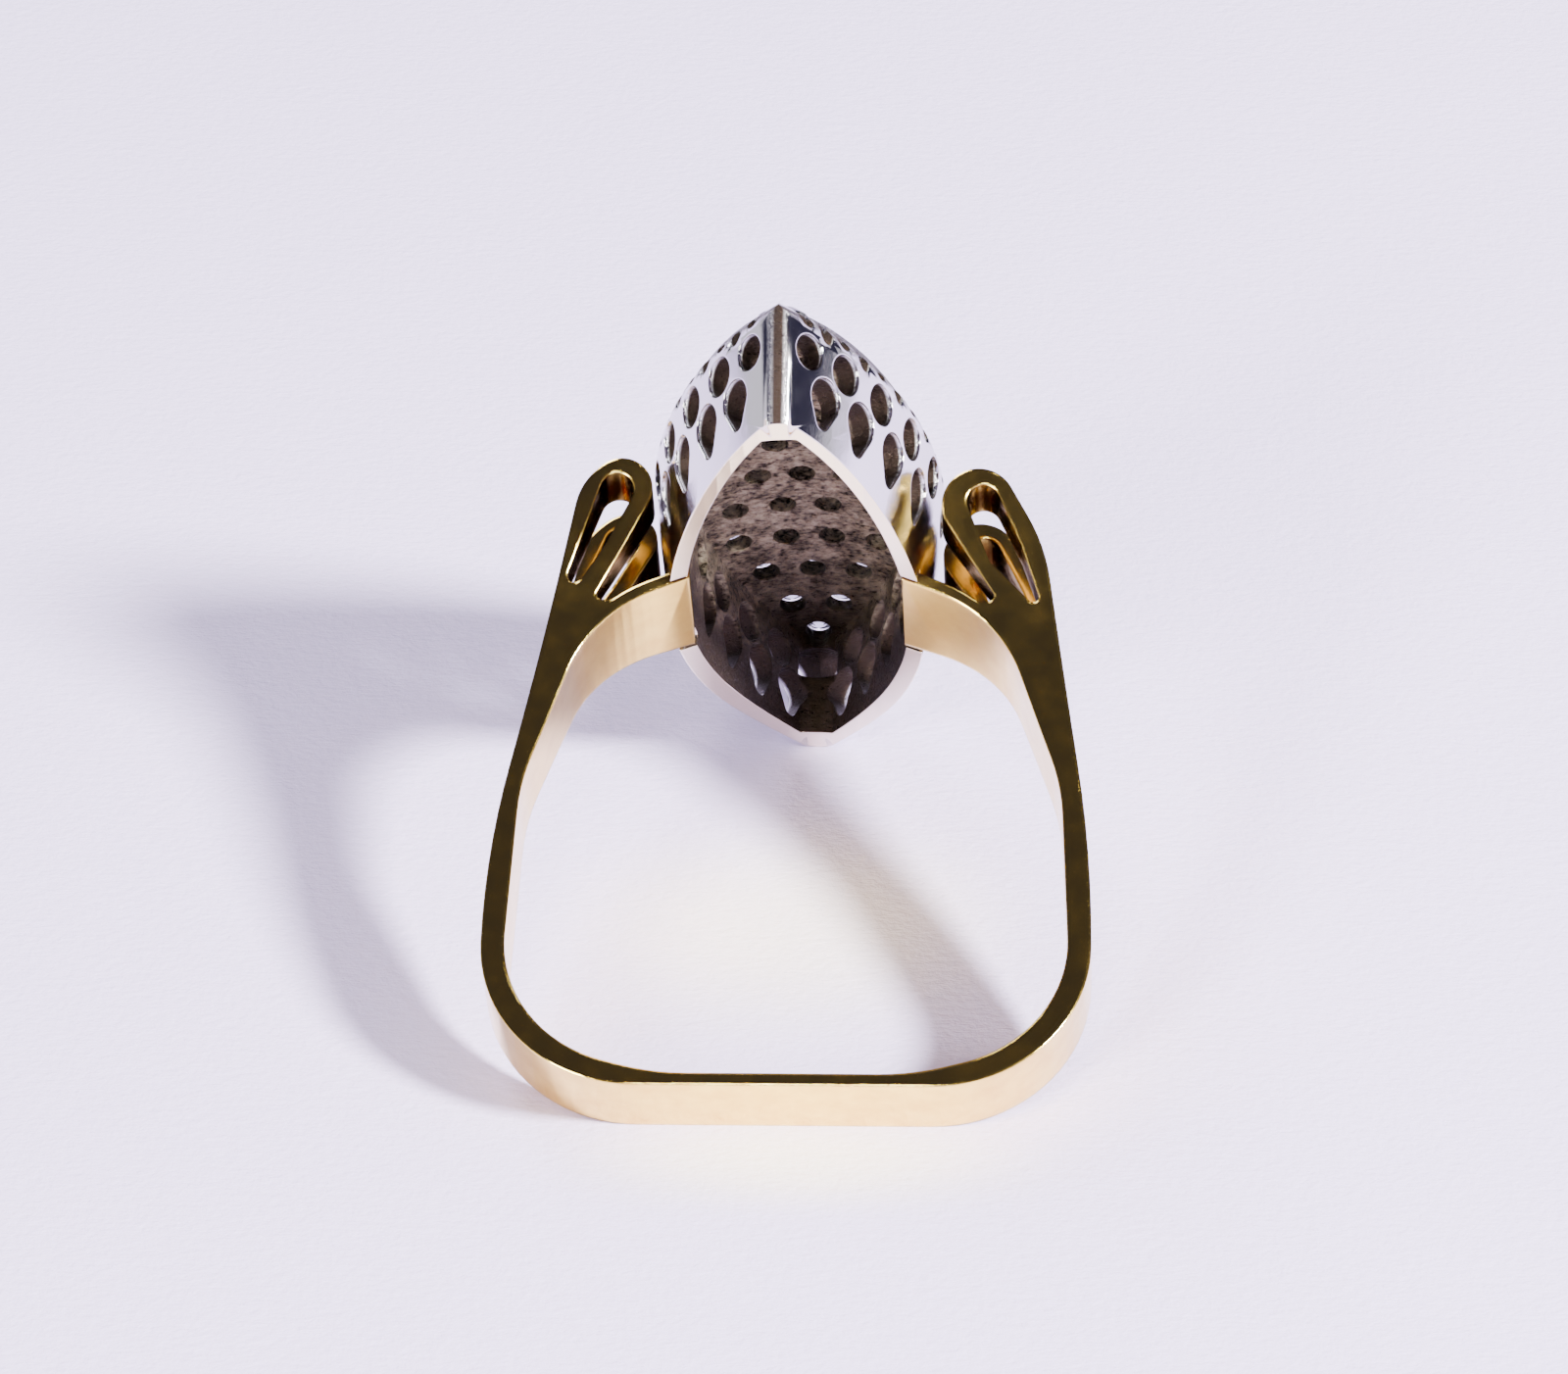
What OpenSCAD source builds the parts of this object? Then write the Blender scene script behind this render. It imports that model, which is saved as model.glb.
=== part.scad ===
// Navette ring: a yellow gold stirrup shank with scrolled shoulders, and a hollow
// white gold head, boat shaped, pierced round its wall and paved with small round stones.
// The ring is drawn upright, X across the finger, Y along it and Z towards the head,
// then laid down as it comes to rest: on one edge of its flat bottom and one nose of the head.

/* [Finger hole] */
// Width of the finger hole
hole_w = 17.8; // [16:0.1:20]
// Height of the finger hole, from the flat bottom to the crown of the arch
hole_h = 18.4; // [17:0.1:21]

/* [Shank] */
// Thickness of the metal at the middle of the flat bottom
bottom_t = 0.42; // [0.3:0.02:0.8]
// Thickness of the metal at the widest point of each side
side_t = 0.75; // [0.55:0.05:1.2]
// Radius of the outer bottom corners
corner_r = 5; // [3.5:0.1:6]
// Radius of the long outward curve of the left side
left_side_r = 33; // [30:1:50]
// Radius of the long outward curve of the right side
right_side_r = 46; // [36:1:60]
// Width of the shank along the finger, at its bottom and sides
shank_w = 2.8; // [2.2:0.1:3.4]
// Height above the hole's widest line at which the width starts to flare
flare_z = 5.5; // [4:0.5:7]
// Radius of the flare
flare_r = 32; // [28:1:50]
// Thickness of the arch band that runs under the scrolls to the head
band_t = 0.38; // [0.3:0.02:0.6]

/* [Scrolls] */
// Width of the gap between the front and the back ribbon of a shoulder
ribbon_gap = 1.7; // [1.2:0.1:2]
// Distance of that gap from the middle of the band, towards the front ribbon
ribbon_shift = 0.3; // [0:0.05:0.4]
// Radius of the curl at the top of the left scroll
curl_r = 1; // [0.9:0.05:1.1]
// Height of that curl's centre above the arch crown
curl_h = 2.2; // [1.9:0.05:2.3]
// Gap left between the curls and the wall of the head
curl_gap = 0.08; // [0.06:0.02:0.3]

/* [Head] */
// Length of the head at its rim, nose to nose
head_l = 20.6; // [19:0.1:22]
// Width of the head at its rim
head_w = 8.6; // [8:0.1:9]
// Outward lean of the wall, in mm for each mm of height
wall_lean = 0.144; // [0.05:0.01:0.2]
// Radius of the two rounded noses
nose_r = 0.9; // [0.5:0.05:1]
// Height of the straight wall above the arch crown
wall_h = 3.2; // [3:0.1:3.6]
// Radius of the shoulder between the wall and the dome
shoulder_r = 1.1; // [0.8:0.1:1.3]
// Height of the domed top above the arch crown
dome_h = 5.7; // [5.5:0.1:6.2]
// Radius of the dome along the head
dome_long_r = 38; // [32:1:60]
// Radius of the dome across the head
dome_cross_r = 7.3; // [6.8:0.1:9]
// Thickness of the roof under the middle stones
roof_t = 1.2; // [1.1:0.05:1.4]
// Length of the hollow at the rim
cavity_l = 18.6; // [17.5:0.1:19]
// Width of the hollow at the rim
cavity_w = 7.2; // [7:0.02:7.5]
// Length by which the hollow's blunt ends stop short of where its two sides would meet
cavity_blunt = 0.7; // [0.3:0.05:1]
// Turn of the head on the shank, in degrees
head_turn = -1.8; // [-3:0.1:3]

/* [Piercing] */
// Number of round holes along each side of the wall
round_holes = 11; // [9:2:11]
// Diameter of the round holes
round_d = 1.4; // [1:0.05:1.45]
// Width of the pear-shaped holes below them
pear_w = 1.5; // [1:0.05:1.6]
// Height of the pear-shaped holes
pear_h = 1.95; // [1.6:0.05:2.1]
// Width of the saw cuts that run up to the stones
slot_w = 0.62; // [0.4:0.02:0.8]
// Depth of those saw cuts
slot_depth = 0.5; // [0.3:0.05:0.55]

/* [Stones] */
// Diameter of a stone
stone_d = 1.62; // [1.4:0.02:1.7]
// Distance between the stones of one row
stone_pitch = 1.8; // [1.75:0.01:1.9]
// Distance between rows
row_pitch = 1.93; // [1.9:0.01:1.96]
// Clearance between a stone and its seat
seat_gap = 0.03; // [0.02:0.01:0.06]
// Diameter of the hole drilled behind each stone
drill_d = 0.9; // [0.7:0.05:1]

/* [Fit] */
// Gap between the ends of the arch band and the notches of the head
joint_gap = 0.04; // [0.02:0.01:0.1]

/* [Hidden] */
$fn = 48;
big = 60;

// Curved outlines are traced as points that stay this close to the true curve
trace_tol = 0.004;
function trace_arc(c, from, sweep) =
    let (n = max(1, ceil(sweep / (2 * acos(1 - trace_tol / c[2])))))
    [for (i = [0 : n]) [c[0] + c[2] * cos(from + sweep * i / n), c[1] + c[2] * sin(from + sweep * i / n)]];

// Direction in which the outer tangent from circle a to circle b touches both
function tangent_turn(a, b) =
    let (run = [b[0] - a[0], b[1] - a[1]])
    atan2(run[1], run[0]) - acos(min(1, (a[2] - b[2]) / norm(run)));

// Corner where two tangents of one circle meet on the inner side of a bend
function tangent_corner(c, from, to) =
    let (a = [cos(from), sin(from)], b = [cos(to), sin(to)])
    [[c[0], c[1]] + c[2] * (a + b) / (1 + a * b)];

// Outline round a closed loop of circles, each [x, z, radius], anticlockwise
function trace_loop(circles) = [
    for (i = [0 : len(circles) - 1])
        let (
            n = len(circles),
            c = circles[i],
            from = tangent_turn(circles[(i + n - 1) % n], c),
            to = tangent_turn(c, circles[(i + 1) % n]),
            sweep = (to - from + 720) % 360
        )
        for (p = sweep > 300 ? tangent_corner(c, from, to) : trace_arc(c, from, sweep)) p
];
function trace_chain(c) = trace_loop(concat(c, [for (i = [len(c) - 2 : -1 : 1]) c[i]]));
function mirrored(points) = [for (i = [len(points) - 1 : -1 : 0]) [-points[i][0], points[i][1]]];
function on_side(side, points) = side < 0 ? mirrored(points) : points;

// Finger hole, as arcs of [centre x, centre z, radius] on its right half
hole_half = hole_w / 2;
hole_z0 = -0.295 * hole_h;
crown_z = hole_z0 + hole_h;
hole_arcs = [
    [0.337 * hole_half, hole_z0 + 0.899 * hole_half, 0.899 * hole_half],
    [0.501 * hole_half, hole_z0 + 0.529 * hole_half, 0.499 * hole_half],
    [0.135 * hole_half, hole_z0 + 0.490 * hole_h, 0.843 * hole_half],
    [0.337 * hole_half, crown_z - 0.618 * hole_half, 0.511 * hole_half],
    [0, crown_z - 0.854 * hole_half, 0.854 * hole_half]
];

// Outline of the shank: rounded bottom corners, and a long curve up each side
shank_half = hole_half + side_t;
shank_z0 = hole_z0 - bottom_t;
corner = [shank_half - corner_r, shank_z0 + corner_r, corner_r];
function side_curve(side) =
    let (r = side < 0 ? left_side_r : right_side_r) [shank_half - r, corner[1], r];

// Half width of the shank along the finger at height z
flare_top = crown_z - 0.5;
function shank_half_w(z) =
    z < flare_z ? shank_w / 2
    : z < flare_top ? shank_w / 2 + flare_r - sqrt(pow(flare_r, 2) - pow(z - flare_z, 2))
    : shank_half_w(flare_top - 0.001) + (z - flare_top) * flare_slope;
flare_slope = tan(asin((flare_top - flare_z) / flare_r));

// Head: two arcs that meet at the noses, turned about axes at x = +axis_x and -axis_x
nose_cut = nose_r * 0.414;
tip_half = head_l / 2 + nose_cut;
head_half = head_w / 2;
rim_r = (pow(tip_half, 2) + pow(head_half, 2)) / (2 * head_half);
axis_x = rim_r - head_half;
function wall_r(z) = rim_r + wall_lean * (z - crown_z);
wall_top = crown_z + wall_h;
lean_len = sqrt(1 + pow(wall_lean, 2));
shoulder = [wall_r(wall_top) - shoulder_r / lean_len, wall_top + shoulder_r * wall_lean / lean_len];
dome_top = crown_z + dome_h;
head_base = crown_z - 2.2;

// Hollow of the head: its roof is flatter than the dome, and stays above the round holes
cavity_tip = cavity_l / 2 + cavity_blunt;
cavity_half = cavity_w / 2;
cavity_r = (pow(cavity_tip, 2) + pow(cavity_half, 2)) / (2 * cavity_half);
cavity_axis = cavity_r - cavity_half;
roof_top = dome_top - roof_t;
roof_long_r = 60;
roof_cross_r = 10;

// Scrolls: each outline is a belly that leaves the side curve and a curl beside the head.
// The left one stands taller and slimmer, the right one bellies out.
head_side = head_half + wall_lean * curl_h;
right_curl_r = 1.2 * curl_r;
left_curl = [head_side + curl_gap + curl_r, crown_z + curl_h, curl_r];
right_curl = [head_side + curl_gap + right_curl_r, crown_z + curl_h - 0.5 * curl_r, right_curl_r];
function scroll_outline(side) = side < 0
    ? [[left_curl[0] - 0.48 * curl_r, left_curl[1] - 0.9 * curl_r, 2 * curl_r], left_curl]
    : [[right_curl[0] - 3.6 * curl_r, right_curl[1] - 3.37 * curl_r, 6 * curl_r], right_curl];
function scroll_eye(side) = side < 0
    ? [
        [left_curl[0] + 0.16 * curl_r, left_curl[1] - 0.05 * curl_r, 0.56 * curl_r],
        [left_curl[0] + 0.69 * curl_r, left_curl[1] - 1.7 * curl_r, 0.27 * curl_r],
        [left_curl[0] + 1.45 * curl_r, left_curl[1] - 2.92 * curl_r, 0.24 * curl_r]
    ]
    : [
        [right_curl[0] + 0.15 * curl_r, right_curl[1] + 0.12 * curl_r, 0.54 * curl_r],
        [right_curl[0] + 0.87 * curl_r, right_curl[1] - 1.58 * curl_r, 0.58 * curl_r],
        [right_curl[0] + 1.8 * curl_r, right_curl[1] - 3.08 * curl_r, 0.18 * curl_r]
    ];
notch_foot = [0.7 * hole_half, crown_z - 0.15 * hole_half, 0.2];

// Where the arch band enters the wall of the head
band_end = cavity_half - 0.15;
band_half_w = shank_half_w(crown_z - 0.3);

// Piercing: heights of the rows, and places along the wall as shares of its length.
// The holes stand closer together towards the noses, where they are smaller too.
round_z = crown_z + 0.85 * wall_h;
pear_z = crown_z + 0.41 * wall_h;
slot_z = crown_z + 1.13 * wall_h;
slot_rise = 0.25;
hole_reach = 0.443;
hole_crowd = 0.14;
nose_shrink = 0.14;
function hole_t(i) = 2 * i / (round_holes - 1) - 1;
function hole_share(t) = 0.5 + hole_reach * t * (1 + hole_crowd * (1 - t * t));
function hole_size(t) = 1 - nose_shrink * pow(abs(t), 6);
pierce_depth = 1.9;
band_zone = band_half_w + 0.34;

// Stones: [number in the row] from the middle row outwards
row_counts = [5, 4, 4, 3, 2, 1];
girdle_t = 0.04 * stone_d;
crown_t = 0.15 * stone_d;
pavilion_t = 0.43 * stone_d;
table_r = 0.28 * stone_d;
stone_rise = 0.02;
row_last = len(row_counts) - 1;
edge_squeeze = 0.955;
stone_rows = [for (k = [-row_last : row_last]) [k, row_counts[abs(k)]]];
stone_places = [
    for (row = stone_rows)
        let (n = row[1], y = row[0] * row_pitch * (abs(row[0]) == row_last ? edge_squeeze : 1))
        for (i = [0 : n - 1])
            [(i - (n - 1) / 2) * stone_pitch * (n == 5 ? edge_squeeze : 1), y]
];
function two_digits(n) = n < 10 ? str("0", n) : str(n);

// Noses: the walls meet at tip_angle and are rounded by a leaning column
tip_angle = asin(tip_half / rim_r);
function tip_y(z) = sqrt(pow(wall_r(z), 2) - pow(axis_x, 2));
tip_lean = (tip_y(wall_top) - tip_y(crown_z)) / wall_h;
column_y = tip_y(crown_z) - nose_r / sin(tip_angle);
column_side = column_y + nose_r * sin(tip_angle);

// Resting place: one edge of the flat bottom and the rim of the lower nose touch the surface
nose_x = (column_y + nose_r) * sin(abs(head_turn)) + nose_r / 2;
arch_r = hole_arcs[4][2];
rim_z = crown_z - arch_r + sqrt(pow(arch_r, 2) - pow(nose_x, 2));
function shoulder_y(turn) = min(
    sqrt(pow(shoulder[0] + shoulder_r * cos(turn), 2) - pow(axis_x, 2)),
    column_y + nose_r + (shoulder_z(turn) - crown_z) * tip_lean
);
function shoulder_z(turn) = shoulder[1] + shoulder_r * sin(turn);
rest_tilt = max(concat(
    [atan((column_y + nose_r - shank_w / 2) / (rim_z - shank_z0))],
    [for (turn = [0 : 2 : 80]) atan((shoulder_y(turn) - shank_w / 2) / (shoulder_z(turn) - shank_z0))]
));
function dome_z(y) = dome_top - dome_long_r + sqrt(pow(dome_long_r, 2) - pow(y, 2));
near_reach = -sin(rest_tilt) * shank_w / 2 + cos(rest_tilt) * shank_z0;
far_reach = max([
    for (place = stone_places)
        place[1] * sin(rest_tilt) + (dome_z(place[1]) + stone_rise + girdle_t + crown_t) * cos(rest_tilt)
]);
rest_y = -(near_reach + far_reach) / 2;
rest_z = cos(rest_tilt) * shank_w / 2 - sin(rest_tilt) * shank_z0;

// Flat outline round two circles
module capsule(a, b) {
    polygon(trace_loop([a, b]));
}

// The finger hole's outline, grown outwards by a margin
module hole_outline(margin = 0) {
    right = [for (a = hole_arcs) [a[0], a[1], a[2] + margin]];
    left = [for (i = [len(right) - 2 : -1 : 0]) [-right[i][0], right[i][1], right[i][2]]];
    polygon(trace_loop(concat(right, left)));
}

// Turns a flat outline of x and z into a solid that runs along the finger
module along_finger(length) {
    rotate([90, 0, 0]) linear_extrude(height = length, center = true) children();
}

module across_finger(length) {
    rotate([90, 0, 90]) linear_extrude(height = length, center = true) children();
}

// Lays the upright ring down as it rests
module at_rest() {
    translate([0, rest_y, rest_z]) rotate([rest_tilt - 90, 0, 0]) children();
}

// Outline of the shank seen along X: straight, then flaring towards the head
module flare_outline() {
    steps = 8;
    top_z = crown_z + 4;
    flare = [for (i = [0 : steps]) flare_z + (flare_top - flare_z) * i / steps];
    heights = concat([shank_z0 - 1], flare, [top_z]);
    right = [for (z = heights) [shank_half_w(z), z]];
    left = [for (i = [len(heights) - 1 : -1 : 0]) [-right[i][0], right[i][1]]];
    polygon(concat(right, left));
}

// Everything under the outer face of the arch band
module band_outline(margin) {
    intersection() {
        hole_outline(band_t + margin);
        translate([-big / 2, flare_z]) square([big, big / 2]);
    }
}

// Outer edge of one side, drawn on the right: from the flat bottom round the corner, up the side,
// round the curl, straight down the scroll's inner leg, round the foot of the space beside the
// head and over to the finger hole
function side_points(side) =
    let (
        rise = side_curve(side),
        belly = scroll_outline(side)[0],
        curl = scroll_outline(side)[1],
        leave = tangent_turn(rise, belly),
        over = tangent_turn(belly, curl),
        run = [curl[0] - notch_foot[0], curl[1] - notch_foot[1]],
        leg = atan2(run[1], run[0]) + acos(-(notch_foot[2] + curl[2]) / norm(run)),
        foot = trace_arc(notch_foot, -90, leg - 90),
        under = foot[0]
    )
    concat(
        trace_arc(corner, -90, 90),
        trace_arc(rise, 0, leave),
        trace_arc(belly, leave, over - leave),
        trace_arc(curl, over, leg - over),
        [for (i = [len(foot) - 1 : -1 : 0]) foot[i]],
        [[under[0] - 1, under[1]], [under[0] - 2, crown_z - 3.5]]
    );

module shank_outline() {
    difference() {
        union() {
            polygon(concat(side_points(1), mirrored(side_points(-1))));
            band_outline(0);
        }
        hole_outline();
        for (side = [-1, 1]) polygon(on_side(side, eye_points(side)));
        translate([-band_end, crown_z - 4]) square([2 * band_end, 8]);
    }
}

// The opening inside a scroll: a bent drop on the right, a straight-backed one on the left
function eye_points(side) =
    let (eye = scroll_eye(side)) side < 0 ? trace_loop([eye[2], eye[0], eye[1]]) : trace_chain(eye);

// Slot that parts the front ribbons from the back ones, down to the arch band
module ribbon_split() {
    split_z = crown_z - 3;
    difference() {
        translate([0, -ribbon_shift, split_z]) {
            translate([-big / 2, -ribbon_gap / 2, 0]) cube([big, ribbon_gap, big / 2]);
            rotate([0, 90, 0]) cylinder(d = ribbon_gap, h = big, center = true);
        }
        along_finger(2 * ribbon_gap) hole_outline(band_t);
    }
}

module shank() {
    color("#d8b45c") at_rest() difference() {
        intersection() {
            along_finger(big / 2) shank_outline();
            across_finger(big) flare_outline();
        }
        ribbon_split();
    }
}

// Rotates a profile of radius and height about both long axes and keeps what they share
module boat() {
    intersection() {
        translate([-axis_x, 0, 0]) rotate_extrude($fn = 180) children();
        translate([axis_x, 0, 0]) rotate_extrude($fn = 180) children();
    }
}

// Section of the wall: leaning outwards, then turning in over the shoulder
module wall_profile() {
    steps = 5;
    lean = atan(wall_lean);
    last_turn = 60;
    round_over = [
        for (i = [0 : steps])
            let (turn = -lean + (last_turn + lean) * i / steps)
            shoulder + shoulder_r * [cos(turn), sin(turn)]
    ];
    last = round_over[steps];
    polygon(concat(
        [[0, head_base], [wall_r(head_base), head_base]], round_over,
        [[last[0], dome_top + 1], [0, dome_top + 1]]
    ));
}

// Barrel that domes a top in both directions
module barrel(top_z, long_r, cross_r) {
    translate([0, 0, top_z - cross_r]) rotate([90, 0, 0]) rotate_extrude($fn = 120)
        intersection() {
            translate([cross_r - long_r, 0]) circle(r = long_r, $fn = 180);
            translate([0, -15]) square([cross_r + 1, 30]);
        }
}

// Rounds both noses: a wedge as long as the straight walls, with a leaning column at each end
module nose_limits() {
    low = crown_z - 4;
    high = dome_top + 1;
    side_at = function(z) column_side + (z - crown_z) * tip_lean;
    across_finger(big / 2) polygon([
        [-side_at(low), low], [side_at(low), low], [side_at(high), high], [-side_at(high), high]
    ]);
    for (end = [0, 180]) rotate([0, 0, end])
        translate([0, column_y, crown_z]) rotate([-atan(tip_lean), 0, 0])
            translate([0, 0, -4]) cylinder(r = nose_r, h = 12);
}

module head_solid() {
    intersection() {
        boat() wall_profile();
        barrel(dome_top, dome_long_r, dome_cross_r);
        nose_limits();
    }
}

// Hollow under the roof, with straight walls and blunt ends
module cavity() {
    intersection() {
        translate([0, 0, head_base - 1]) linear_extrude(height = 12) intersection() {
            translate([-cavity_axis, 0]) circle(r = cavity_r, $fn = 180);
            translate([cavity_axis, 0]) circle(r = cavity_r, $fn = 180);
            square([cavity_w + 1, cavity_l], center = true);
        }
        barrel(roof_top, roof_long_r, roof_cross_r);
    }
}

// Turn about the wall's axis, and place along the head, at a share of the wall's length
function wall_turn(share, z) = asin(tip_y(z) / wall_r(z)) * (1 - 2 * share);
function wall_y(share, z) = wall_r(z) * sin(wall_turn(share, z));

// Puts a cutter on the wall, pointing along its outward normal
module on_wall(share, z, side) {
    mirror([side < 0 ? 1 : 0, 0, 0]) translate([-axis_x, 0, z]) rotate([0, 0, wall_turn(share, z)])
        translate([wall_r(z), 0, 0]) rotate([90, 0, 90]) children();
}

module round_hole(size) {
    translate([0, 0, -pierce_depth]) cylinder(d = round_d * size, h = pierce_depth + 1);
}

module pear_hole(size) {
    w = pear_w * size;
    h = pear_h * size;
    foot_r = w * 0.22;
    translate([0, 0, -pierce_depth]) linear_extrude(height = pierce_depth + 1)
        capsule([0, h / 2 - w / 2, w / 2], [0, foot_r - h / 2, foot_r]);
}

module saw_cut() {
    translate([0, 0, -slot_depth]) linear_extrude(height = slot_depth + 1) {
        circle(d = slot_w);
        translate([-slot_w / 2, 0]) square([slot_w, 2]);
    }
}

module wall_piercing() {
    for (side = [-1, 1]) {
        for (i = [0 : round_holes - 1]) {
            share = hole_share(hole_t(i));
            on_wall(share, round_z, side) round_hole(hole_size(hole_t(i)));
            on_wall(share, slot_z + slot_rise, side) saw_cut();
        }
        for (i = [0 : round_holes - 2]) {
            share = hole_share(hole_t(i + 0.5));
            if (abs(wall_y(share, pear_z)) > band_zone)
                on_wall(share, pear_z, side) pear_hole(hole_size(hole_t(i + 0.5)));
            on_wall(share, slot_z, side) saw_cut();
        }
    }
}

// Puts a stone or its seat on the dome, square to the surface
module on_dome(place) {
    long_drop = dome_long_r - sqrt(pow(dome_long_r, 2) - pow(place[1], 2));
    cross_r = dome_cross_r - long_drop;
    z = dome_top - dome_cross_r + sqrt(pow(cross_r, 2) - pow(place[0], 2));
    translate([place[0], place[1], z])
        rotate([-asin(place[1] / dome_long_r), asin(place[0] / cross_r), 0]) children();
}

module stone_seat() {
    seat_r = stone_d / 2 + seat_gap;
    cone_h = pavilion_t * seat_r / (stone_d / 2);
    translate([0, 0, stone_rise - seat_gap]) cylinder(r = seat_r, h = 1);
    translate([0, 0, stone_rise - seat_gap - cone_h]) cylinder(r1 = 0, r2 = seat_r, h = cone_h);
}

module drill_hole(depth) {
    translate([0, 0, -depth]) cylinder(d = drill_d, h = depth - 0.2);
}

// Notch in each side of the wall for the end of the arch band
module band_notch() {
    intersection() {
        along_finger(2 * (band_half_w + joint_gap)) hole_outline(band_t + joint_gap);
        for (side = [0, 1]) mirror([side, 0, 0])
            translate([band_end - 0.4, -5, crown_z - 4]) cube([4, 10, 6]);
    }
}

module head() {
    color("#dcdce4") at_rest() difference() {
        rotate([0, 0, head_turn]) difference() {
            head_solid();
            cavity();
            wall_piercing();
            for (place = stone_places) on_dome(place) {
                stone_seat();
                drill_hole(abs(place[1]) > (row_last - 0.5) * row_pitch ? 1.2 : 3);
            }
        }
        along_finger(big / 2) hole_outline();
        band_notch();
    }
}

// Round brilliant: table, 8 star, 8 kite and 16 upper girdle facets over 8 mains and 16 lower ones
module brilliant() {
    r = stone_d / 2;
    table_z = girdle_t + crown_t;
    ring = function(count, radius, z, from) [
        for (i = [0 : count - 1])
            let (turn = from + i * 360 / count)
            [radius * cos(turn), radius * sin(turn), z]
    ];
    points = concat(
        ring(8, table_r, table_z, 0), ring(8, r * 0.77, girdle_t + crown_t * 0.58, 22.5),
        ring(16, r, girdle_t, 0), ring(16, r, 0, 0),
        ring(8, r * 0.24, -pavilion_t * 0.79, 22.5), [[0, 0, -pavilion_t]]
    );
    star = 8;
    upper = 16;
    under = 32;
    deep = 48;
    tip = 56;
    faces = concat(
        [[7, 6, 5, 4, 3, 2, 1, 0]],
        [for (i = [0 : 7]) [i, (i + 1) % 8, star + i]],
        [for (i = [0 : 7]) [i, star + i, upper + 2 * i]],
        [for (i = [0 : 7]) [i, upper + 2 * i, star + (i + 7) % 8]],
        [for (i = [0 : 7]) [star + i, upper + 2 * i + 1, upper + 2 * i]],
        [for (i = [0 : 7]) [star + i, upper + (2 * i + 2) % 16, upper + 2 * i + 1]],
        [for (i = [0 : 15]) [upper + i, upper + (i + 1) % 16, under + (i + 1) % 16, under + i]],
        [for (i = [0 : 7]) [deep + i, under + 2 * i, under + 2 * i + 1]],
        [for (i = [0 : 7]) [deep + i, under + 2 * i + 1, under + (2 * i + 2) % 16]],
        [for (i = [0 : 7]) [tip, under + 2 * i, deep + i]],
        [for (i = [0 : 7]) [tip, deep + (i + 7) % 8, under + 2 * i]]
    );
    polyhedron(points, faces);
}

module stone(i) {
    color("#f2f4f8") at_rest() rotate([0, 0, head_turn])
        on_dome(stone_places[i - 1]) translate([0, 0, stone_rise]) brilliant();
}

shank();
head();
for (i = [1 : len(stone_places)])
    stone(i);
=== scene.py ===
# %% [markdown]
# # A navette ring, laid down on white paper
# This lesson dresses a jeweller's ring that already exists as exact solids: a yellow gold
# shank with scrolled shoulders, a hollow white gold head in the shape of a boat, and small
# round stones set close together on its domed top. The solids come in as a fixed frame. We
# give them the finish of worn, polished metal, add the tiny grains that hold the stones, and
# then light and frame the ring as it lies on its side, seen from the open back of its head.

# %% Load the frame
import math

import bmesh
import bpy
from mathutils import Euler, Matrix, Vector


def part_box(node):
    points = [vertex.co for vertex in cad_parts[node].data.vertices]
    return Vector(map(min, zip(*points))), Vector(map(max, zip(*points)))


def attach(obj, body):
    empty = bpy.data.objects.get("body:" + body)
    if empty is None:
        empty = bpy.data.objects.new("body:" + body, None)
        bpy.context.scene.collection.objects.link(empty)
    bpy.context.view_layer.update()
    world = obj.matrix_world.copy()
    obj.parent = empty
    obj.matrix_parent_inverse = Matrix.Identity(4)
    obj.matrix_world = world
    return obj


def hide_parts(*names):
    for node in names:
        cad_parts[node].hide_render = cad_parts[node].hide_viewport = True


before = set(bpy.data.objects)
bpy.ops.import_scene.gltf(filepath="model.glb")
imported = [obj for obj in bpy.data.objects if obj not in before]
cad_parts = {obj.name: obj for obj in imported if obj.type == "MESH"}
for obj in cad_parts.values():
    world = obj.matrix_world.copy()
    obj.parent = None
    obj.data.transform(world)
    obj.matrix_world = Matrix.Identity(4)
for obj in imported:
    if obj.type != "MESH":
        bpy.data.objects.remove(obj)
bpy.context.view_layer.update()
MM = 0.001

# %% [markdown]
# ## Colours
# A colour picked on a screen is sRGB, but shaders work with linear light, so one function
# turns the usual hex value into linear numbers. The numbers in it come from the sRGB
# standard: a short straight piece near black, and a power of 2.4 above it.

# %% Colour helper
def to_light(part):
    return part / 12.92 if part <= 0.04045 else ((part + 0.055) / 1.055) ** 2.4


def linear(hex_colour):
    parts = [int(hex_colour[i:i + 2], 16) / 255 for i in (1, 3, 5)]
    return tuple(to_light(part) for part in parts) + (1.0,)


print("middle grey on screen, #808080, is", round(linear("#808080")[0], 3), "in linear light")

# %% [markdown]
# ## Nodes
# Every material below is a small tree of nodes, and one function builds them all. It adds a
# node, fills in its settings, and then its inputs, by name or by number. An input may be a
# plain value, a socket to link, or another node, whose first socket in use is then linked.
# The trees read from top to bottom, each step with the name of what it means on the ring.

# %% Node and material helpers
def add_node(tree, kind, inputs=None, **settings):
    node = tree.nodes.new(kind)
    for name, value in settings.items():
        setattr(node, name, value)
    for name, value in (inputs or {}).items():
        if isinstance(value, bpy.types.Node):
            value = next(socket for socket in value.outputs if socket.enabled)
        if isinstance(value, bpy.types.NodeSocket):
            tree.links.new(value, node.inputs[name])
        else:
            node.inputs[name].default_value = value
    return node


def new_material(name):
    material = bpy.data.materials.new(name)
    material.use_nodes = True
    material.node_tree.nodes.clear()
    return material, material.node_tree


print("the trees are built for Blender", bpy.app.version_string)

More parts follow.
